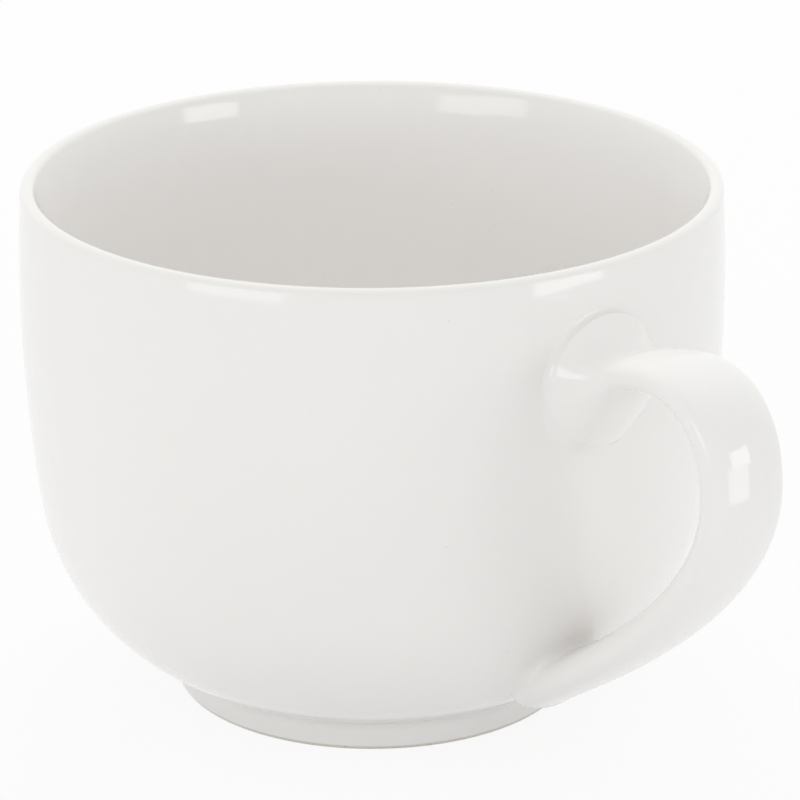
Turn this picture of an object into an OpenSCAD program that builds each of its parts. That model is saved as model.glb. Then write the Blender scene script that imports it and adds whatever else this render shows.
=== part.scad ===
// Soup mug: a wide, deep bowl on a low foot ring, with one ear-shaped strap handle.
// It is two clay pieces, bowl and handle, glued with slip, under four coats of glaze.
// All sizes are millimetres on the finished mug, over the glaze.
// The axis of the bowl is Z, the table is Z = 0 and the handle lies along +X.

/* [Bowl] */
// Widest diameter of the bowl
belly_d = 114; // [106:1:124]
// Height of the mug, from the table to the crest of the lip
bowl_h = 86; // [82:1:94]
// How far the widest part of the wall lies below the crest of the lip
belly_drop = 18.5; // [14:0.5:24]
// Radius of the wall's slow bow, seen from the side
bow_r = 265; // [200:5:400]
// Radius of the round lower corner, outside
corner_r = 35.5; // [34:0.5:38]
// Level above the table at which the round corner would run out flat
corner_z = 2.2; // [1.8:0.1:2.8]

/* [Wall] */
// Thickness of the wall
wall_t = 4.2; // [3.6:0.1:5]
// Thickness of the lip
lip_t = 2.4; // [2:0.1:3]
// Radius of the slow curve that thins the wall to the lip, inside
lip_ease_r = 34; // [18:1:40]
// Height of the floor inside
floor_z = 7; // [6.2:0.1:8.5]
// Radius of the round inside corner
inside_corner_r = 33; // [29:1:37]

/* [Foot] */
// Diameter of the foot ring
foot_d = 66.2; // [64:0.2:72]
// Width of the foot ring
foot_w = 4.6; // [3.4:0.2:6]
// Depth of the hollow inside the foot ring
recess_z = 3.2; // [2.6:0.1:3.8]
// Radius of the hollow's inner corner
recess_round_r = 1.6; // [1:0.1:2]
// Radius of the soft groove where the foot meets the bowl
neck_r = 2.6; // [1.6:0.1:3.2]
// Radius of the foot ring's two lower edges
foot_edge_r = 0.5; // [0.3:0.1:0.6]

/* [Glaze and slip] */
// Thickness of the glaze
glaze_t = 0.35; // [0.2:0.05:0.5]
// Height above the table at which the glaze is wiped off the foot
wipe_z = 0.6; // [0.6:0.1:1]
// Thickness of the slip that glues the handle to the bowl
slip_t = 0.6; // [0.55:0.05:0.9]

/* [Handle] */
// How far the handle stands out beyond the widest part of the bowl
handle_out = 34.8; // [31:0.2:40]
// How far the handle's outermost point lies below the crest of the lip
apex_drop = 27.5; // [24:0.5:31]
// How far the middle of the upper pad lies below the crest of the lip
upper_root_drop = 18.7; // [16:0.1:21]
// Height at which the middle of the strap reaches the wall below
lower_root_z = 13.5; // [12:0.1:16]
// Angle at which the strap climbs away from the upper pad
upper_climb = 32; // [24:1:38]
// Angle at which the strap comes down to the lower root
lower_dip = 28; // [20:1:34]
// Reach of the curve out of the upper pad
upper_lead = 23.5; // [20:0.5:26]
// Reach of the curve above the outermost point
crown_lead = 14.2; // [11:0.2:16]
// Reach of the curve below the outermost point
drop_lead = 19.6; // [16:0.2:22]
// Reach of the curve into the lower root
lower_lead = 8.5; // [8:0.5:14]

/* [Strap] */
// Width of the strap at its slimmest, where it leaves the upper pad
strap_upper_w = 13; // [12:0.5:16]
// Width of the strap from its top round the outermost point
strap_w = 14.6; // [12:0.2:16]
// Width of the strap at the lower root
strap_lower_w = 15.2; // [13:0.2:17]
// Thickness of the strap at its slimmest, where it leaves the upper pad
strap_upper_t = 5; // [4.6:0.2:6.6]
// Thickness of the strap from its top round the outermost point
strap_t = 6.6; // [5.4:0.2:7.6]
// Thickness of the strap at the lower root
strap_lower_t = 8; // [7:0.2:9]
// Fullness of the strap's two edges, 2 being an ellipse
strap_squareness = 2.7; // [2:0.1:4]
// How late the strap swells into the lower root, a higher number being later
tongue_growth = 8; // [4:1:12]
// Bluntness of the strap's lower end, 2 being round
tongue_bluntness = 3; // [2:0.1:4]

/* [Upper pad] */
// Width of the pad, around the wall
pad_w = 20.4; // [18.4:0.2:23]
// Height of the pad, up the wall
pad_h = 21.8; // [19.6:0.2:24]
// Thickness of the pad's rounded edge
pad_edge_t = 2.2; // [1.6:0.1:2.8]
// Angle through which the pad's edge rounds over before the flare to the strap starts
rim_turn = 60; // [54:1:66]
// Length over which the pad narrows to the strap
pad_flare = 8.5; // [6.5:0.5:10]

/* [Hidden] */
glaze_colour = "#f1eeea";
clay_colour = "#e6ddd0";
slip_colour = "#d8cdbd";
$fn = 96;

// How deep the strap's ends run into the wall before they are cut to fit it, and how much more
// steeply than the strap the lower one dives in
pad_sink = 3;
heel_sink = 6;
heel_lean = 60;
// Share of the upper curve at which the strap has its full section
full_share = 0.6;
// Counts of the strap's sides and of the rings in its stretches
strap_sides = 24;
rim_rings = 4;
flare_rings = 7;
crown_rings = 13;
drop_rings = 20;
heel_rings = 5;
// Counts of the steps in the outline's arcs
bow_steps = 10;
corner_steps = 16;
lip_steps = 6;
ease_steps = 5;
round_steps = 6;

// Outer outline: a slow bow for the wall runs into one round corner below
belly_r = belly_d / 2;
belly_z = bowl_h - belly_drop;
bow_c = [belly_r - bow_r, belly_z];
function corner_fall(arc_r, round_r, mid_z) = asin((belly_z - mid_z) / (arc_r - round_r));
function corner_mid(arc_r, round_r, mid_z) =
    [bow_c[0] + (arc_r - round_r) * cos(corner_fall(arc_r, round_r, mid_z)), mid_z];
corner_mid_z = corner_z + corner_r;
corner_a = corner_fall(bow_r, corner_r, corner_mid_z);
corner_c = corner_mid(bow_r, corner_r, corner_mid_z);
join_z = corner_c[1] - corner_r * sin(corner_a);

// Inner outline: the same two arcs, one wall further in
inside_r = bow_r - wall_t;
inside_mid_z = floor_z + inside_corner_r;
inside_a = corner_fall(inside_r, inside_corner_r, inside_mid_z);
inside_c = corner_mid(inside_r, inside_corner_r, inside_mid_z);

// Lip: a round crest inside the outer bow, met from inside by the slow thinning curve
lip_r = lip_t / 2;
lip_z = bowl_h - lip_r;
lip_c = [bow_c[0] + sqrt(pow(bow_r - lip_r, 2) - pow(lip_z - belly_z, 2)), lip_z];
lip_a = atan2(lip_c[1] - bow_c[1], lip_c[0] - bow_c[0]);
ease_far = inside_r + lip_ease_r;
ease_near = lip_ease_r - lip_r;
ease_drop = acos((pow(ease_far, 2) + pow(bow_r - lip_r, 2) - pow(ease_near, 2))
    / (2 * ease_far * (bow_r - lip_r)));
ease_a = lip_a - ease_drop;
ease_c = bow_c + ease_far * heading(ease_a);
lip_inward = (lip_c - ease_c) / ease_near;
crest_a = 90;

// Foot: a ring under the round corner, with a soft groove above it
foot_r = foot_d / 2;
recess_r = foot_r - foot_w;
neck_x = foot_r + neck_r;
neck_c = [neck_x, corner_c[1] - sqrt(pow(corner_r + neck_r, 2) - pow(neck_x - corner_c[0], 2))];
neck_inward = (corner_c - neck_c) / (corner_r + neck_r);
recess_corner_r = min(recess_round_r, recess_z - wipe_z);

function heading(angle) = [cos(angle), sin(angle)];
function angle_of(way) = atan2(way[1], way[0]);
function arc(centre, r, from, to, steps) =
    [for (k = [0:steps]) centre + r * heading(from + (to - from) * k / steps)];
function reversed(path) = [for (k = [len(path) - 1:-1:0]) path[k]];

// Stretches of the outline, set into the clay by inset, in order from the foot over the lip
// to the floor
function neck_path(inset) =
    arc(neck_c, neck_r + inset, 180, angle_of(neck_inward), round_steps);
function corner_path(inset) =
    arc(corner_c, corner_r - inset, angle_of(-neck_inward), -corner_a, corner_steps);
function bow_path(inset) = arc(bow_c, bow_r - inset, -corner_a, lip_a, bow_steps);
function outer_lip_path(inset) = arc(lip_c, lip_r - inset, lip_a, crest_a, lip_steps);
function inner_lip_path(inset) =
    arc(lip_c, lip_r - inset, crest_a, angle_of(lip_inward), lip_steps);
function ease_path(inset) =
    arc(ease_c, lip_ease_r - inset, angle_of(lip_inward), 180 + ease_a, ease_steps);
function inside_bow_path(inset) = arc(bow_c, inside_r + inset, ease_a, -inside_a, bow_steps);
function inside_corner_path(inset) =
    arc(inside_c, inside_corner_r + inset, -inside_a, -90, corner_steps);
function recess_path(inset) = concat([[0, recess_z + inset]],
    arc([recess_r - recess_corner_r, recess_z - recess_corner_r], recess_corner_r + inset, 90, 0,
        round_steps));
function outside_path(inset) = concat(neck_path(inset), tail(corner_path(inset)),
    tail(bow_path(inset)), tail(outer_lip_path(inset)));
function inside_path(inset) = concat(inner_lip_path(inset), tail(ease_path(inset)),
    tail(inside_bow_path(inset)), tail(inside_corner_path(inset)), [[0, floor_z - inset]]);
function tail(path) = [for (k = [1:len(path) - 1]) path[k]];

// Radius of the finished bowl's outside at a height
function wall_x(z) = z > join_z
    ? bow_c[0] + sqrt(pow(bow_r, 2) - pow(z - belly_z, 2))
    : corner_c[0] + sqrt(pow(corner_r, 2) - pow(corner_c[1] - z, 2));

// Centre line of the strap: two smooth curves that meet, upright, at the outermost point
apex = [belly_r + handle_out - strap_t / 2, bowl_h - apex_drop];
upper_root = [wall_x(bowl_h - upper_root_drop), bowl_h - upper_root_drop];
lower_root = [wall_x(lower_root_z), lower_root_z];
crown = [upper_root, upper_root + upper_lead * heading(upper_climb), apex + [0, crown_lead], apex];
drop = [apex, apex - [0, drop_lead], lower_root + lower_lead * heading(lower_dip), lower_root];
function curve_at(p, t) = pow(1 - t, 3) * p[0] + 3 * pow(1 - t, 2) * t * p[1]
    + 3 * (1 - t) * t * t * p[2] + pow(t, 3) * p[3];
function curve_run(p, t) = 3 * pow(1 - t, 2) * (p[1] - p[0]) + 6 * (1 - t) * t * (p[2] - p[1])
    + 3 * t * t * (p[3] - p[2]);
function curve_heading(p, t) = let(run = curve_run(p, t)) atan2(run[1], run[0]);
function ease(x) = let(y = min(max(x, 0), 1)) y * y * (3 - 2 * y);

// One ring of the strap: centre, heading, half width, half thickness, bend round the wall, and
// how far its surface faces along the strap
pad_run = pad_edge_t + pad_flare;
crown_speed = 3 * upper_lead;
function pad_ring(s, grow, facing) = let(t = max(s, 0) / crown_speed,
        rest = crown_ring(t), turn = ease(s / pad_run))
    [curve_at(crown, t) + [min(s, 0), 0], curve_heading(crown, t) * turn,
        rest[2] + (pad_w / 2 - rest[2]) * grow, rest[3] + (pad_h / 2 - rest[3]) * grow,
        1 - turn, facing];
function crown_ring(t) = let(growth = ease(t / full_share))
    [curve_at(crown, t), curve_heading(crown, t),
        (strap_upper_w + (strap_w - strap_upper_w) * growth) / 2,
        (strap_upper_t + (strap_t - strap_upper_t) * growth) / 2, 0, 0];
function drop_ring(t) = let(growth = pow(t, tongue_growth))
    [curve_at(drop, t), curve_heading(drop, t), (strap_w + (strap_lower_w - strap_w) * growth) / 2,
        (strap_t + (strap_lower_t - strap_t) * growth) / 2, 0, 0];
function heel_ring(a) = let(end = drop_ring(1), reach = sin(a),
        size = pow(1 - pow(reach, tongue_bluntness), 1 / tongue_bluntness))
    [end[0] + heel_sink * reach * heading(end[1] - heel_lean), end[1], end[2] * size,
        end[3] * size, 0, 0];

// The rings in order: pad edge, pad flare, which starts with the slope at which the edge ends,
// crown, drop, blunt end of the tongue
heel_turn = 80;
rim_grow = 1 - 2 * pad_edge_t / pad_h;
rim_top = pad_edge_t * sin(rim_turn);
rim_end = rim_grow + (1 - rim_grow) * cos(rim_turn);
flare_run = pad_run - rim_top;
flare_hollow = max(1, 2 * tan(rim_turn) * flare_run / (pad_h * rim_end));
function flare_facing(u) = sin(atan(tan(rim_turn) * pow(1 - u, flare_hollow - 1)));
rings = concat([pad_ring(-pad_sink, 1, 0)],
    [for (k = [0:rim_rings]) let(a = rim_turn * k / rim_rings)
        pad_ring(pad_edge_t * sin(a), rim_grow + (1 - rim_grow) * cos(a), sin(a))],
    [for (k = [1:flare_rings]) let(u = k / flare_rings)
        pad_ring(rim_top + flare_run * u, rim_end * pow(1 - u, flare_hollow), flare_facing(u))],
    [for (k = [1:crown_rings - 1]) let(t = pad_run / crown_speed)
        crown_ring(t + (1 - t) * k / crown_rings)],
    [for (k = [0:drop_rings]) drop_ring(k / drop_rings)],
    [for (k = [1:heel_rings]) heel_ring(heel_turn * k / heel_rings)]);

// The section is an ellipse at the pad and gets fuller edges along the flare. An inset goes
// inwards, or back along the strap where the surface faces along it.
function squareness(ring) = 2 + (strap_squareness - 2) * (1 - ring[4]);
function fuller(c, ring) = sign(c) * pow(abs(c), 2 / squareness(ring));
function ring_points(ring, inset) = let(side_inset = inset * sqrt(1 - pow(ring[5], 2)),
        mid = ring[0] - inset * ring[5] * heading(ring[1]))
    [for (j = [0:strap_sides - 1]) let(a = 360 * j / strap_sides,
            across = (ring[2] - side_inset) * cos(a), up = (ring[3] - side_inset) * fuller(sin(a), ring))
        [mid[0] - up * sin(ring[1]) - ring[4] * across * across / belly_d,
            across, mid[1] + up * cos(ring[1])]];

// The strap's surface, set in by inset, as points and as faces that start at a point number
last = len(rings) - 1;
skin_points = len(rings) * strap_sides;
function strap_points(inset) = [for (ring = rings) each ring_points(ring, inset)];
function at(i, j) = i * strap_sides + j % strap_sides;
function strap_faces() = [for (i = [0:last - 1], j = [0:strap_sides - 1])
    each [[at(i, j), at(i + 1, j), at(i + 1, j + 1)], [at(i, j), at(i + 1, j + 1), at(i, j + 1)]]];

// The strap's solid, pad to tongue, both ends running into the wall
module strap(inset) {
    mids = [for (ring = [rings[0], rings[last]]) [ring[0][0], 0, ring[0][1]]];
    ends = [for (j = [0:strap_sides - 1]) each [[skin_points, at(0, j), at(0, j + 1)],
        [skin_points + 1, at(last, j + 1), at(last, j)]]];
    polyhedron(concat(strap_points(inset), mids), concat(strap_faces(), ends));
}

// A coat on the strap, glaze_t thick, open at both ends
module strap_coat() {
    function under(i, j) = skin_points + at(i, j);
    inner = [for (f = strap_faces()) [f[0] + skin_points, f[2] + skin_points, f[1] + skin_points]];
    ends = [for (j = [0:strap_sides - 1]) each [
        [under(0, j), at(0, j), at(0, j + 1)],
        [under(0, j), at(0, j + 1), under(0, j + 1)],
        [under(last, j), at(last, j + 1), at(last, j)],
        [under(last, j), under(last, j + 1), at(last, j + 1)]]];
    polyhedron(concat(strap_points(0), strap_points(glaze_t)), concat(strap_faces(), inner, ends));
}

// Ring of clay or glaze between two paths along the outline
module turned(path, back_path) {
    rotate_extrude() polygon(concat(path, reversed(back_path)));
}

// The bowl's outside as a solid block, set in by inset
module outer_form(inset) {
    turned(concat([[foot_r - inset, 0]], outside_path(inset)), [[0, 0], [0, bowl_h - inset]]);
}

// Fired clay of the bowl: wall, lip, floor and bare foot ring
module bowl() {
    foot_out = foot_r - glaze_t - foot_edge_r;
    foot_in = recess_r + glaze_t + foot_edge_r;
    foot_path = concat(arc([foot_in, foot_edge_r], foot_edge_r, 180, 270, round_steps),
        arc([foot_out, foot_edge_r], foot_edge_r, 270, 360, round_steps));
    color(clay_colour) turned(concat(recess_path(glaze_t), foot_path, outside_path(glaze_t)),
        reversed(tail(inside_path(glaze_t))));
}

// Fired clay of the handle, cut to the bowl with room for the slip
module handle() {
    color(clay_colour) difference() {
        strap(glaze_t);
        outer_form(glaze_t - slip_t);
    }
}

// Slip between the bowl's upright wall and the handle's pad
module upper_slip_joint() {
    color(slip_colour) intersection() {
        strap(glaze_t);
        turned(bow_path(glaze_t - slip_t), bow_path(glaze_t));
    }
}

// Slip between the bowl's round corner and the handle's tongue
module lower_slip_joint() {
    color(slip_colour) intersection() {
        strap(glaze_t);
        turned(corner_path(glaze_t - slip_t), corner_path(glaze_t));
    }
}

// Glaze of the bowl's inside, up to the crest of the lip
module inside_glaze() {
    color(glaze_colour) turned(inside_path(0), inside_path(glaze_t));
}

// Glaze of the bowl's outside, from the wiped foot to the crest of the lip, open under the handle
module outside_glaze() {
    color(glaze_colour) difference() {
        turned(concat([[foot_r, wipe_z]], outside_path(0)),
            concat([[foot_r - glaze_t, wipe_z]], outside_path(glaze_t)));
        strap(glaze_t);
    }
}

// Glaze of the handle, ending on the bowl's glaze
module handle_glaze() {
    color(glaze_colour) difference() {
        strap_coat();
        outer_form(0);
    }
}

// Glaze inside the foot ring, above the wiped edge
module underfoot_glaze() {
    color(glaze_colour) turned(concat(recess_path(0), [[recess_r, wipe_z]]),
        concat(recess_path(glaze_t), [[recess_r + glaze_t, wipe_z]]));
}

bowl();
handle();
upper_slip_joint();
lower_slip_joint();
inside_glaze();
outside_glaze();
handle_glaze();
underfoot_glaze();
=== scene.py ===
from math import acos, asin, atan2, cos, hypot, pi, radians, sin, sqrt, tan

import bmesh
import bpy
from mathutils import Matrix, Vector


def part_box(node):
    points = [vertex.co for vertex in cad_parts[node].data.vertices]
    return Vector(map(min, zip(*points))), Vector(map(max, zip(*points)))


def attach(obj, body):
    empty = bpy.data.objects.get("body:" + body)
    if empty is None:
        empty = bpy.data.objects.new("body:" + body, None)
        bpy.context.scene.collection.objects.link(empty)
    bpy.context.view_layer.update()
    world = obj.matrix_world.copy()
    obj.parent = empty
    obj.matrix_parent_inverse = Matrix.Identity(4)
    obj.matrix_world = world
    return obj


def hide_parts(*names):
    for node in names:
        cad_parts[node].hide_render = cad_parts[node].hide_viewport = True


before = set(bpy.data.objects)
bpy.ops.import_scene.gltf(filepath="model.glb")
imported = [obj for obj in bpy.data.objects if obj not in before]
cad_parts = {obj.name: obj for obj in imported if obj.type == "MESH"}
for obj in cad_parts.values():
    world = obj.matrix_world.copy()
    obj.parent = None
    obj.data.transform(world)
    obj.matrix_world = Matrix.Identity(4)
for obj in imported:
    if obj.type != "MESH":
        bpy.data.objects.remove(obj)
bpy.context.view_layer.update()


# Bowl: the fired clay body, one piece turned on a wheel with its foot ring.
# Its wall is a slow bow that runs into one round corner, and the lip is thinned from inside.
# Only the wiped flat of the foot ring stays bare: the glaze covers the rest.
mm = 0.001
glaze_t = 0.35 * mm
belly_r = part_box("outside_glaze")[1].y
bowl_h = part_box("outside_glaze")[1].z
belly_z = bowl_h - 18.5 * mm
bow_r = 265 * mm
corner_r = 35.5 * mm
corner_mid_z = corner_r + 2.2 * mm
wall_t = 4.2 * mm
lip_r = 1.2 * mm
lip_ease_r = 34 * mm
floor_z = 7 * mm
inside_corner_r = 33 * mm
foot_r = 33.1 * mm
recess_r = foot_r - 4.6 * mm
recess_z = 3.2 * mm
recess_round_r = 1.6 * mm
neck_r = 2.6 * mm
foot_edge_r = 0.5 * mm
wipe_z = 0.6 * mm
spin_steps = 256
neck_steps, corner_steps, bow_steps, lip_steps = 10, 28, 24, 10
ease_steps, inside_bow_steps, round_steps = 8, 20, 10
floor_rings = 4
ceiling_shares = (0, 0.3, 0.6, 0.85)
weld_gap = 0.002 * mm
axis_gap = 0.001 * mm
crease = radians(50)


def heading(angle):
    return Vector((cos(angle), sin(angle)))


def angle_of(way):
    return atan2(way.y, way.x)


def arc(centre, radius, start, end, steps):
    """Points of an arc in the half plane of the outline, radius first and height second."""
    return [centre + radius * heading(start + (end - start) * k / steps) for k in range(steps + 1)]


bow_c = Vector((belly_r - bow_r, belly_z))


def corner_centre(arc_r, round_r, mid_z):
    """Middle of a round corner that runs smoothly into the wall's bow, and the bow's angle there."""
    fall = asin((belly_z - mid_z) / (arc_r - round_r))
    return Vector((bow_c.x + (arc_r - round_r) * cos(fall), mid_z)), fall


corner_c, corner_a = corner_centre(bow_r, corner_r, corner_mid_z)
inside_r = bow_r - wall_t
inside_c, inside_a = corner_centre(inside_r, inside_corner_r, floor_z + inside_corner_r)

lip_z = bowl_h - lip_r
lip_c = Vector((bow_c.x + sqrt((bow_r - lip_r) ** 2 - (lip_z - belly_z) ** 2), lip_z))
lip_a = angle_of(lip_c - bow_c)
ease_far = inside_r + lip_ease_r
ease_near = lip_ease_r - lip_r
lip_far = bow_r - lip_r
ease_a = lip_a - acos((ease_far**2 + lip_far**2 - ease_near**2) / (2 * ease_far * lip_far))
ease_c = bow_c + ease_far * heading(ease_a)
lip_inward_a = angle_of(lip_c - ease_c)

neck_x = foot_r + neck_r
neck_c = Vector((neck_x, corner_c.y - sqrt((corner_r + neck_r) ** 2 - (neck_x - corner_c.x) ** 2)))
neck_a = angle_of(corner_c - neck_c)


def outside_path(inset):
    """From the groove above the foot up to the crest of the lip, set into the clay by inset."""
    return [
        *arc(neck_c, neck_r + inset, pi, neck_a, neck_steps),
        *arc(corner_c, corner_r - inset, neck_a - pi, -corner_a, corner_steps)[1:],
        *arc(bow_c, bow_r - inset, -corner_a, lip_a, bow_steps)[1:],
        *arc(lip_c, lip_r - inset, lip_a, pi / 2, lip_steps)[1:],
    ]


def inside_path(inset):
    """From the crest of the lip down the inside to the middle of the floor."""
    floor_edge = Vector((inside_c.x, floor_z - inset))
    floor_shares = [1 - k / floor_rings for k in range(1, floor_rings + 1)]
    return [
        *arc(lip_c, lip_r - inset, pi / 2, lip_inward_a, lip_steps),
        *arc(ease_c, lip_ease_r - inset, lip_inward_a, pi + ease_a, ease_steps)[1:],
        *arc(bow_c, inside_r + inset, ease_a, -inside_a, inside_bow_steps)[1:],
        *arc(inside_c, inside_corner_r + inset, -inside_a, -pi / 2, corner_steps)[1:],
        *[Vector((floor_edge.x * share, floor_edge.y)) for share in floor_shares],
    ]


def recess_path(inset):
    """From the middle of the hollow under the foot out to the foot ring's inner side."""
    corner = Vector((recess_r - recess_round_r, recess_z - recess_round_r))
    ceiling = recess_z + inset
    return [
        *[Vector((corner.x * share, ceiling)) for share in ceiling_shares],
        *arc(corner, recess_round_r + inset, pi / 2, 0, round_steps),
    ]


def turned(name, outline):
    """A closed outline spun round the bowl's axis into one smooth solid."""
    bpy.ops.object.select_all(action="DESELECT")
    bpy.ops.mesh.primitive_circle_add(vertices=len(outline), radius=belly_r)
    piece = bpy.context.object
    piece.name = name
    for vertex, point in zip(piece.data.vertices, outline):
        vertex.co = (point.x, 0, point.y)
    bpy.ops.object.mode_set(mode="EDIT")
    bpy.ops.mesh.select_mode(type="EDGE")
    bpy.ops.mesh.select_all(action="DESELECT")
    mesh = bmesh.from_edit_mesh(piece.data)
    for edge in mesh.edges:
        edge.select_set(all(v.co.x < axis_gap for v in edge.verts))
    bpy.ops.mesh.delete(type="EDGE")
    bpy.ops.mesh.select_all(action="SELECT")
    bpy.ops.mesh.spin(steps=spin_steps, angle=2 * pi, center=(0, 0, 0), axis=(0, 0, 1))
    bpy.ops.mesh.select_all(action="SELECT")
    bpy.ops.mesh.remove_doubles(threshold=weld_gap)
    bpy.ops.mesh.normals_make_consistent(inside=False)
    bpy.ops.object.mode_set(mode="OBJECT")
    bpy.ops.object.shade_smooth_by_angle(angle=crease)
    return piece


class Shade:
    """A node's output. Sums with it add Math nodes, and node() adds a node of any other kind."""

    def __init__(self, tree, output=None):
        self.tree = tree
        self.output = output

    def node(self, kind, settings, inputs, output=0):
        made = self.tree.nodes.new(kind)
        for name, value in settings.items():
            setattr(made, name, value)
        for name, value in inputs.items():
            if isinstance(value, Shade):
                self.tree.links.new(value.output, made.inputs[name])
            else:
                made.inputs[name].default_value = value
        return Shade(self.tree, made.outputs[output])

    def maths(self, operation, first, second):
        return self.node("ShaderNodeMath", {"operation": operation}, {0: first, 1: second})

    def __add__(self, other):
        return self.maths("ADD", self, other)

    __radd__ = __add__

    def __sub__(self, other):
        return self.maths("SUBTRACT", self, other)

    def __rsub__(self, other):
        return self.maths("SUBTRACT", other, self)

    def __mul__(self, other):
        return self.maths("MULTIPLY", self, other)

    __rmul__ = __mul__

    def place(self):
        return self.node("ShaderNodeTexCoord", {}, {}, "Object")

    def noise(self, size, detail=2.0):
        """Cloudy noise with lumps of about that size."""
        inputs = {"Vector": self.place(), "Scale": 1 / size, "Detail": detail}
        return self.node("ShaderNodeTexNoise", {}, inputs)

    def ramp(self, low, high):
        """0 below low, 1 above high and a soft step between."""
        settings = {"interpolation_type": "SMOOTHSTEP"}
        return self.node("ShaderNodeMapRange", settings, {"Value": self, 1: low, 2: high})

    def blend(self, first, second):
        """A colour between two others, with this value as the share of the second."""
        inputs = {0: self, 6: first, 7: second}
        return self.node("ShaderNodeMix", {"data_type": "RGBA"}, inputs, 2)

    def bump(self, depth):
        inputs = {"Height": self, "Distance": depth, "Strength": 1.0}
        return self.node("ShaderNodeBump", {}, inputs)


def finish_of(name, **constants):
    """A new material with its shader's unvarying values set, and a start for its other nodes."""
    material = bpy.data.materials.new(name)
    material.use_nodes = True
    shader = material.node_tree.nodes["Principled BSDF"]
    for socket, value in constants.items():
        shader.inputs[socket.replace("_", " ")].default_value = value
    return material, Shade(material.node_tree), shader


def wire(shader, **varying):
    for socket, value in varying.items():
        shader.id_data.links.new(value.output, shader.inputs[socket.replace("_", " ")])


def fired_clay(name, pale, dark):
    """Fine, matt, off-white clay: cloudy, with grog specks and a sandy grain."""
    cloud_size, speck_size, grain_size = 14 * mm, 0.7 * mm, 0.35 * mm
    grain_depth = 0.06 * mm
    speck_tint = (0.42, 0.36, 0.29, 1)
    material, shade, shader = finish_of(name, IOR=1.45)
    clouds = shade.noise(cloud_size, detail=4.0)
    specks = shade.noise(speck_size).ramp(0.66, 0.74)
    grain = shade.noise(grain_size, detail=3.0)
    tone = clouds.blend(pale, dark)
    wire(
        shader,
        Base_Color=(specks * 0.45).blend(tone, speck_tint),
        Roughness=0.74 + grain * 0.2,
        Normal=(grain + specks * 0.4).bump(grain_depth),
    )
    return material


foot_out = foot_r - glaze_t - foot_edge_r
foot_in = recess_r + glaze_t + foot_edge_r
foot_ring = [
    *arc(Vector((foot_in, foot_edge_r)), foot_edge_r, pi, 1.5 * pi, round_steps),
    *arc(Vector((foot_out, foot_edge_r)), foot_edge_r, 1.5 * pi, 2 * pi, round_steps),
]
clay_bowl = turned(
    "clay_bowl",
    [*recess_path(glaze_t), *foot_ring, *outside_path(glaze_t), *inside_path(glaze_t)[1:]],
)
bare_clay = fired_clay("bare_clay", (0.82, 0.79, 0.73, 1), (0.77, 0.73, 0.66, 1))
clay_bowl.data.materials.append(bare_clay)
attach(clay_bowl, "root")
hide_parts("bowl")


# Slip joints: two thin beds of liquid clay that glue the handle's pad and tongue to the bowl.
# They fire to the same stuff as the body, a little darker and rougher.
slip_clay = fired_clay("slip", (0.72, 0.67, 0.60, 1), (0.66, 0.60, 0.52, 1))
for joint in ("upper_slip_joint", "lower_slip_joint"):
    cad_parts[joint].data.materials.clear()
    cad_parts[joint].data.materials.append(slip_clay)


# Inside glaze: the glossy coat poured into the bowl, from the floor to the crest of the lip.
# It is warm white and near opaque, thinner and warmer where it is drawn over the lip.
thin_z = bowl_h - 1.6 * mm
pool_low_z, pool_z = 2 * mm, 9 * mm


def white_gloss():
    """Glossy warm white glaze, slightly cloudy, with a faint flow in its surface and few pinholes."""
    pale, deep = (0.964, 0.946, 0.932, 1), (0.950, 0.930, 0.914, 1)
    lip_tint, pool_tint = (0.91, 0.885, 0.84, 1), (0.91, 0.905, 0.89, 1)
    pinhole_tint = (0.60, 0.56, 0.50, 1)
    tint_share = 0.25
    cloud_size, flow_size, peel_size, pinhole_size = 45 * mm, 22 * mm, 1.6 * mm, 0.9 * mm
    flow_depth = 0.35 * mm
    material, shade, shader = finish_of("white_glaze", IOR=1.5)
    height = shade.node("ShaderNodeSeparateXYZ", {}, {"Vector": shade.place()}, 2)
    clouds = shade.noise(cloud_size, detail=3.0)
    lip = height.ramp(thin_z, bowl_h)
    pool = 1 - height.ramp(pool_low_z, pool_z)
    pinholes = shade.noise(pinhole_size, detail=1.0).ramp(0.78, 0.84)
    tone = clouds.blend(pale, deep)
    tone = (lip * tint_share).blend(tone, lip_tint)
    tone = (pool * tint_share).blend(tone, pool_tint)
    flow = shade.noise(flow_size, detail=1.0)
    peel = shade.noise(peel_size, detail=1.0)
    wire(
        shader,
        Base_Color=(pinholes * 0.3).blend(tone, pinhole_tint),
        Roughness=0.05 + clouds * 0.07 + pinholes * 0.3,
        Normal=(flow + peel * 0.015 - pinholes * 0.02).bump(flow_depth),
    )
    return material


white_glaze = white_gloss()
inside_coat = turned("inside_coat", [*inside_path(0), *reversed(inside_path(glaze_t))])
inside_coat.data.materials.append(white_glaze)
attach(inside_coat, "root")
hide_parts("inside_glaze")


# Outside glaze: the same coat on the outside, from the crest of the lip down to the foot.
# It ends in a soft rounded edge where it was wiped off the foot ring before firing.
wipe_steps = 6
wiped_edge = arc(Vector((foot_r - glaze_t, wipe_z + glaze_t)), glaze_t, -pi / 2, 0, wipe_steps)
outside_coat = turned(
    "outside_coat", [*wiped_edge, *outside_path(0), *reversed(outside_path(glaze_t))]
)
outside_coat.data.materials.append(white_glaze)
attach(outside_coat, "root")
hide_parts("outside_glaze")


# Underfoot glaze: the coat in the hollow inside the foot ring, which keeps it from staining.
# It is wiped to the same height as the outside.
wiped_edge = arc(
    Vector((recess_r + glaze_t, wipe_z + glaze_t)), glaze_t, pi, 1.5 * pi, wipe_steps
)
underfoot_coat = turned(
    "underfoot_coat", [*recess_path(0)[:-1], *wiped_edge, *reversed(recess_path(glaze_t))]
)
underfoot_coat.data.materials.append(white_glaze)
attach(underfoot_coat, "root")
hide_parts("underfoot_glaze")


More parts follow.
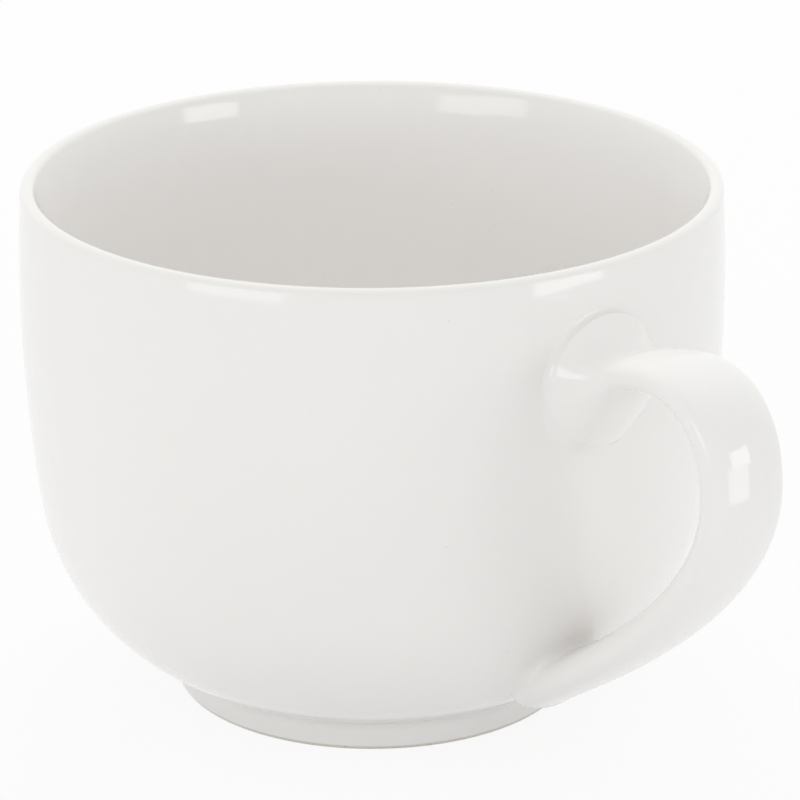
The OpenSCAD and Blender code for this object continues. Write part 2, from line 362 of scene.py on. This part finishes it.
# Handle: an ear-shaped strap, pressed by itself, flared to a round pad above and a tongue below.
# Its glaze runs on to the wall in a soft fillet all round both roots.
# The skin of the glaze is shaped first, ring by ring, and the clay is taken from it.
strap_sides = 72
rim_steps, flare_steps, crown_steps, drop_steps = 7, 22, 36, 48
tongue_steps, tongue_parts, fillet_steps = 16, 160, 10
under_fillet, over_fillet = 0.6 * mm, 2.4 * mm
fillet_sink = 0.02 * mm
upper_root_z = bowl_h - 18.7 * mm
lower_root_z = 13.5 * mm
apex_z = bowl_h - 27.5 * mm
upper_climb = radians(32)
lower_dip = radians(28)
upper_lead = 23.5 * mm
crown_lead = 14.2 * mm
drop_lead = 19.6 * mm
lower_lead = 8.5 * mm
strap_upper_w, strap_w, strap_lower_w = 13 * mm, 14.6 * mm, 15.2 * mm
strap_upper_t, strap_t, strap_lower_t = 5 * mm, 6.6 * mm, 8 * mm
strap_squareness = 2.7
full_share = 0.6
tongue_start = 0.72
tongue_growth = 8
tongue_bluntness = 3
pad_w, pad_h = 20.4 * mm, 21.8 * mm
pad_edge_t = 2.2 * mm
rim_start, rim_turn = radians(40), radians(60)
pad_flare = 8.5 * mm
pad_run = pad_edge_t + pad_flare
heel_sink = 6 * mm
heel_lean = radians(60)
heel_turn = radians(80)
join_z = corner_c.y - corner_r * sin(corner_a)


def wall_r(z):
    """Radius of the glazed wall at a height."""
    if z > join_z:
        return bow_c.x + sqrt(bow_r**2 - (z - belly_z) ** 2)
    return corner_c.x + sqrt(corner_r**2 - (corner_c.y - z) ** 2)


upper_root = Vector((wall_r(upper_root_z), upper_root_z))
lower_root = Vector((wall_r(lower_root_z), lower_root_z))
apex = Vector((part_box("handle_glaze")[1].x - strap_t / 2, apex_z))
crown = (
    upper_root,
    upper_root + upper_lead * heading(upper_climb),
    apex + Vector((0, crown_lead)),
    apex,
)
drop = (
    apex,
    apex - Vector((0, drop_lead)),
    lower_root + lower_lead * heading(lower_dip),
    lower_root,
)


def curve_at(p, t):
    u = 1 - t
    return u**3 * p[0] + 3 * u * u * t * p[1] + 3 * u * t * t * p[2] + t**3 * p[3]


def curve_heading(p, t):
    u = 1 - t
    return angle_of(u * u * (p[1] - p[0]) + 2 * u * t * (p[2] - p[1]) + t * t * (p[3] - p[2]))


def ease(x):
    y = min(max(x, 0), 1)
    return y * y * (3 - 2 * y)


def between(first, second, share):
    return first + (second - first) * share


def ring(middle, turn, half_w, half_t, bend=0.0):
    """One section of the strap, an ellipse at the pad and with fuller edges along the strap."""
    power = 2 / between(strap_squareness, 2, bend)
    points = []
    for j in range(strap_sides):
        a = 2 * pi * j / strap_sides
        across = half_w * cos(a)
        up = half_t * abs(sin(a)) ** power * (1 if sin(a) > 0 else -1)
        x = middle.x - up * sin(turn) - bend * across * across / (2 * belly_r)
        points.append(Vector((x, across, middle.y + up * cos(turn))))
    return points


def crown_size(t):
    growth = ease(t / full_share)
    return between(strap_upper_w, strap_w, growth) / 2, between(strap_upper_t, strap_t, growth) / 2


def crown_ring(t):
    return ring(curve_at(crown, t), curve_heading(crown, t), *crown_size(t))


def drop_ring(t):
    half_w = between(strap_w, strap_lower_w, t**tongue_growth) / 2
    half_t = between(strap_t, strap_lower_t, t**tongue_growth) / 2
    return ring(curve_at(drop, t), curve_heading(drop, t), half_w, half_t)


def pad_ring(s, grow):
    """A section of the flare at distance s from the wall, grown from the strap towards the pad."""
    t = s / (3 * upper_lead)
    turn = ease(s / pad_run)
    half_w, half_t = crown_size(t)
    half_w, half_t = between(half_w, pad_w / 2, grow), between(half_t, pad_h / 2, grow)
    return ring(curve_at(crown, t), curve_heading(crown, t) * turn, half_w, half_t, 1 - turn)


def heel_ring(a):
    """A section of the tongue's blunt end, past the point where its middle reaches the wall."""
    turn = curve_heading(drop, 1)
    size = (1 - sin(a) ** tongue_bluntness) ** (1 / tongue_bluntness)
    middle = lower_root + heel_sink * sin(a) * heading(turn - heel_lean)
    return ring(middle, turn, strap_lower_w / 2 * size, strap_lower_t / 2 * size)


def off_wall(point):
    return hypot(point.x, point.y) - wall_r(point.z)


def on_wall(point, sink=0.0):
    around = atan2(point.y, point.x)
    flat = (wall_r(point.z) - sink) * heading(around)
    return Vector((flat.x, flat.y, point.z))


def wall_normal(point):
    step = 0.1 * mm
    slope = (wall_r(point.z + step) - wall_r(point.z - step)) / (2 * step)
    flat = heading(atan2(point.y, point.x))
    return Vector((flat.x, flat.y, -slope)).normalized()


def fillet(edge, feet):
    """Rings that curve from an edge above the wall, over its feet on the wall, out along the wall."""
    middle = sum(feet, Vector()) / len(feet)
    rings = []
    landing = []
    for j, foot in enumerate(feet):
        along = feet[(j + 1) % len(feet)] - feet[j - 1]
        out = along.cross(wall_normal(foot)).normalized()
        out = out if out.dot(foot - middle) > 0 else -out
        landing.append(on_wall(foot + (edge[j] - foot).length * out, fillet_sink))
    for k in range(1, fillet_steps + 1):
        t = k / fillet_steps
        rings.append(
            [
                (1 - t) ** 2 * a + 2 * t * (1 - t) * b + t * t * c
                for a, b, c in zip(edge, feet, landing)
            ]
        )
    return rings


rim_grow = 1 - 2 * pad_edge_t / pad_h
rim_top = pad_edge_t * sin(rim_turn)
rim_end = between(rim_grow, 1, cos(rim_turn))
flare_run = pad_run - rim_top
flare_hollow = 2 * tan(rim_turn) * flare_run / (pad_h * rim_end)
rim_rings = [
    pad_ring(pad_edge_t * sin(a), between(rim_grow, 1, cos(a)))
    for a in [between(rim_start, rim_turn, k / rim_steps) for k in range(rim_steps + 1)]
]
pad_feet = [on_wall(point) for point in pad_ring(0, 1)]
flare_rings = [
    pad_ring(rim_top + flare_run * u, rim_end * (1 - u) ** flare_hollow)
    for u in [k / flare_steps for k in range(1, flare_steps + 1)]
]
crown_start = pad_run / (3 * upper_lead)
crown_rings = [
    crown_ring(between(crown_start, 1, k / crown_steps)) for k in range(1, crown_steps)
]
drop_rings = [drop_ring(tongue_start * k / drop_steps) for k in range(drop_steps + 1)]


def tongue_ring(u):
    """Sections of the tongue from u = 0, on the strap, over u = 1, at the wall, to its round end."""
    if u < 1:
        return drop_ring(between(tongue_start, 1, u))
    return heel_ring((u - 1) * heel_turn)


tongue_samples = [tongue_ring(2 * k / tongue_parts) for k in range(tongue_parts + 1)]


def tongue_reach(j, clearance):
    """Where along the tongue its side j comes within a clearance of the wall."""
    for k in range(tongue_parts):
        here, there = off_wall(tongue_samples[k][j]), off_wall(tongue_samples[k + 1][j])
        if there <= clearance:
            return 2 * (k + (here - clearance) / (here - there)) / tongue_parts
    return 2.0


def tongue_point(j, u):
    part = u * tongue_parts / 2
    k = min(int(part), tongue_parts - 1)
    return tongue_samples[k][j].lerp(tongue_samples[k + 1][j], part - k)


tongue_edge_at = [
    tongue_reach(j, between(over_fillet, under_fillet, (1 + sin(2 * pi * j / strap_sides)) / 2))
    for j in range(strap_sides)
]
tongue_foot_at = [tongue_reach(j, 0) for j in range(strap_sides)]
tongue_rings = [
    [tongue_point(j, tongue_edge_at[j] * k / tongue_steps) for j in range(strap_sides)]
    for k in range(1, tongue_steps + 1)
]
tongue_feet = [on_wall(tongue_point(j, tongue_foot_at[j])) for j in range(strap_sides)]

handle_rings = [
    *reversed(fillet(rim_rings[0], pad_feet)),
    *rim_rings,
    *flare_rings,
    *crown_rings,
    *drop_rings,
    *tongue_rings,
    *fillet(tongue_rings[-1], tongue_feet),
]

bpy.ops.object.select_all(action="DESELECT")
bpy.ops.mesh.primitive_circle_add(vertices=strap_sides, radius=pad_w / 2)
handle_coat = bpy.context.object
handle_coat.name = "handle_coat"
for vertex, point in zip(handle_coat.data.vertices, handle_rings[0]):
    vertex.co = point
bpy.ops.object.mode_set(mode="EDIT")
bpy.ops.mesh.select_all(action="SELECT")
for points in handle_rings[1:]:
    bpy.ops.mesh.extrude_region()
    mesh = bmesh.from_edit_mesh(handle_coat.data)
    mesh.verts.ensure_lookup_table()
    for vertex, point in zip(mesh.verts[-strap_sides:], points):
        vertex.co = point
bpy.ops.mesh.select_all(action="SELECT")
bpy.ops.mesh.normals_make_consistent(inside=False)
bpy.ops.object.mode_set(mode="OBJECT")
bpy.ops.object.shade_smooth()
handle_coat.data.materials.append(white_glaze)


# Handle clay: the fired strap itself, of the same clay as the bowl.
# It lies one coat of glaze inside the skin and is closed at both roots, where the slip holds it.
bpy.ops.object.duplicate()
clay_handle = bpy.context.object
clay_handle.name = "clay_handle"
bpy.ops.object.mode_set(mode="EDIT")
bpy.ops.mesh.select_all(action="SELECT")
bpy.ops.transform.shrink_fatten(value=-glaze_t)
bpy.ops.mesh.select_mode(type="EDGE")
bpy.ops.mesh.select_all(action="DESELECT")
bpy.ops.mesh.select_non_manifold()
bpy.ops.mesh.edge_face_add()
bpy.ops.object.mode_set(mode="OBJECT")
clay_handle.data.materials.clear()
clay_handle.data.materials.append(bare_clay)
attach(clay_handle, "root")
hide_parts("handle")


# Handle glaze: the skin above, thickened inwards to a coat of the same white glaze.
# It is a little thinner than the room over the clay, so that the two don't share a surface.
handle_coat_t = 0.8 * glaze_t
bpy.ops.object.select_all(action="DESELECT")
bpy.context.view_layer.objects.active = handle_coat
coat = handle_coat.modifiers.new("coat", "SOLIDIFY")
coat.thickness = handle_coat_t
coat.offset = -1
bpy.ops.object.modifier_apply(modifier=coat.name)
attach(handle_coat, "root")
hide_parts("handle_glaze")


# Floor: a plain pale table under plain soft studio light, which keeps the mug's shadow.
# A camera or a reflection sees it lifted to white, as the sweep behind a product is.
floor_size = 6.0
table_drop = 0.02 * mm
table_tone = (0.88, 0.88, 0.88, 1)
white_share = 0.88
bpy.ops.object.select_all(action="DESELECT")
bpy.ops.mesh.primitive_plane_add(size=floor_size, location=(0, 0, -table_drop))
floor = bpy.context.object
floor.name = "floor"
table_white, shade, shader = finish_of("floor", Roughness=0.9)
shader.inputs["Base Color"].default_value = table_tone
seen = shade.node("ShaderNodeLightPath", {}, {}, "Is Camera Ray")
mirrored = shade.node("ShaderNodeLightPath", {}, {}, "Is Glossy Ray")
through = shade.node("ShaderNodeLightPath", {}, {}, "Is Transmission Ray")
white = shade.node("ShaderNodeEmission", {}, {"Color": (1, 1, 1, 1), "Strength": 1.0})
looked_at = seen + mirrored + through
lift = looked_at.maths("MINIMUM", looked_at, 1.0) * white_share
lit = Shade(table_white.node_tree, shader.outputs["BSDF"])
surface = shade.node("ShaderNodeMixShader", {}, {0: lift, 1: lit, 2: white})
out = table_white.node_tree.nodes["Material Output"]
table_white.node_tree.links.new(surface.output, out.inputs["Surface"])
floor.data.materials.append(table_white)


# Camera: at the photograph's place, a long lens 0.66 m away and about 21 degrees above the table.
# The handle points 37.5 degrees to the right of it.
handle_right = radians(37.5)
camera_far = 655.5 * mm
camera_up = radians(20.616)
camera_roll = radians(-0.342)
camera_yaw = radians(0.383)
aim_z = 47.61 * mm


def in_room(right, away, up):
    """A place or way given as the camera sees it: to the right, away from it and up."""
    x = right * sin(handle_right) - away * cos(handle_right)
    return Vector((x, right * cos(handle_right) + away * sin(handle_right), up))


level_right = in_room(1, 0, 0)
level_ahead = in_room(0, cos(camera_up), -sin(camera_up))
level_up = level_right.cross(level_ahead)
ahead = level_ahead * cos(camera_yaw) + level_right * sin(camera_yaw)
sideways = level_right * cos(camera_yaw) - level_ahead * sin(camera_yaw)
lens_right = sideways * cos(camera_roll) + level_up * sin(camera_roll)
lens_up = level_up * cos(camera_roll) - sideways * sin(camera_roll)
lens = bpy.data.cameras.new("camera")
lens.lens = 180
lens.sensor_width = 36
camera = bpy.data.objects.new("camera", lens)
bpy.context.collection.objects.link(camera)
turn = Matrix((lens_right, lens_up, -ahead)).transposed()
place = in_room(0, -camera_far * cos(camera_up), aim_z + camera_far * sin(camera_up))
camera.matrix_world = Matrix.Translation(place) @ turn.to_4x4()
bpy.context.scene.camera = camera


# Light: plain soft studio light in a white room. Softboxes stand low on both sides of the camera,
# with a fill on the left and a large lamp above and behind, which no piece mirrors.
# Narrow strips near the table make the highlights under the rim and on the strap.
lamp_target = Vector((0, 0, 0.05))
room_level = 0.725
room_tint = (0.987, 1, 0.992, 1)


def softbox(name, azimuth, wide, tall, middle_z, far, watts):
    """A rectangular lamp that faces the mug, at an angle round it from the camera."""
    lamp = bpy.data.lights.new(name, "AREA")
    lamp.shape = "RECTANGLE"
    lamp.size = wide
    lamp.size_y = tall
    lamp.energy = watts
    box = bpy.data.objects.new(name, lamp)
    bpy.context.collection.objects.link(box)
    box.location = in_room(far * sin(azimuth), -far * cos(azimuth), middle_z)
    facing = lamp_target - box.location
    box.rotation_euler = facing.to_track_quat("-Z", "Y").to_euler()
    box.visible_camera = False
    return box


def strip(shown_in, **placing):
    """A narrow lamp near the table, flagged off so that only one piece mirrors it."""
    box = softbox(f"{shown_in.name}_strip", **placing)
    box.visible_diffuse = False
    flagged = bpy.data.collections.new(box.name)
    flagged.objects.link(shown_in)
    box.light_linking.receiver_collection = flagged


softbox(
    "right_softbox",
    azimuth=radians(60.5), wide=0.365, tall=0.215, middle_z=0.2075, far=1.0, watts=0.68,
)
softbox(
    "left_softbox",
    azimuth=radians(-41), wide=0.63, tall=0.24, middle_z=0.22, far=1.0, watts=0.9,
)
softbox(
    "left_fill",
    azimuth=radians(-80), wide=1.0, tall=0.8, middle_z=0.6, far=1.2, watts=0.4,
)
top_light = softbox(
    "top_light",
    azimuth=pi, wide=1.2, tall=0.6, middle_z=1.2, far=0.8, watts=5.9,
)
top_light.visible_glossy = False
strip(
    handle_coat,
    azimuth=radians(49.5), wide=0.09, tall=0.069, middle_z=0.0365, far=0.262, watts=0.034,
)
strip(
    outside_coat,
    azimuth=radians(58.5), wide=0.118, tall=0.044, middle_z=0.054, far=0.284, watts=0.036,
)
strip(
    outside_coat,
    azimuth=radians(-39.5), wide=0.15, tall=0.042, middle_z=0.056, far=0.289, watts=0.030,
)

world = bpy.data.worlds.new("room")
world.use_nodes = True
bpy.context.scene.world = world
air = Shade(world.node_tree)
seen = air.node("ShaderNodeLightPath", {}, {}, "Is Camera Ray")
mirrored = air.node("ShaderNodeLightPath", {}, {}, "Is Glossy Ray")
through = air.node("ShaderNodeLightPath", {}, {}, "Is Transmission Ray")
looked_at = seen + mirrored + through
level = room_level + looked_at.maths("MINIMUM", looked_at, 1.0) * (1 - room_level)
background = world.node_tree.nodes["Background"]
background.inputs["Color"].default_value = room_tint
world.node_tree.links.new(level.output, background.inputs["Strength"])
bpy.context.scene.view_settings.view_transform = "Standard"
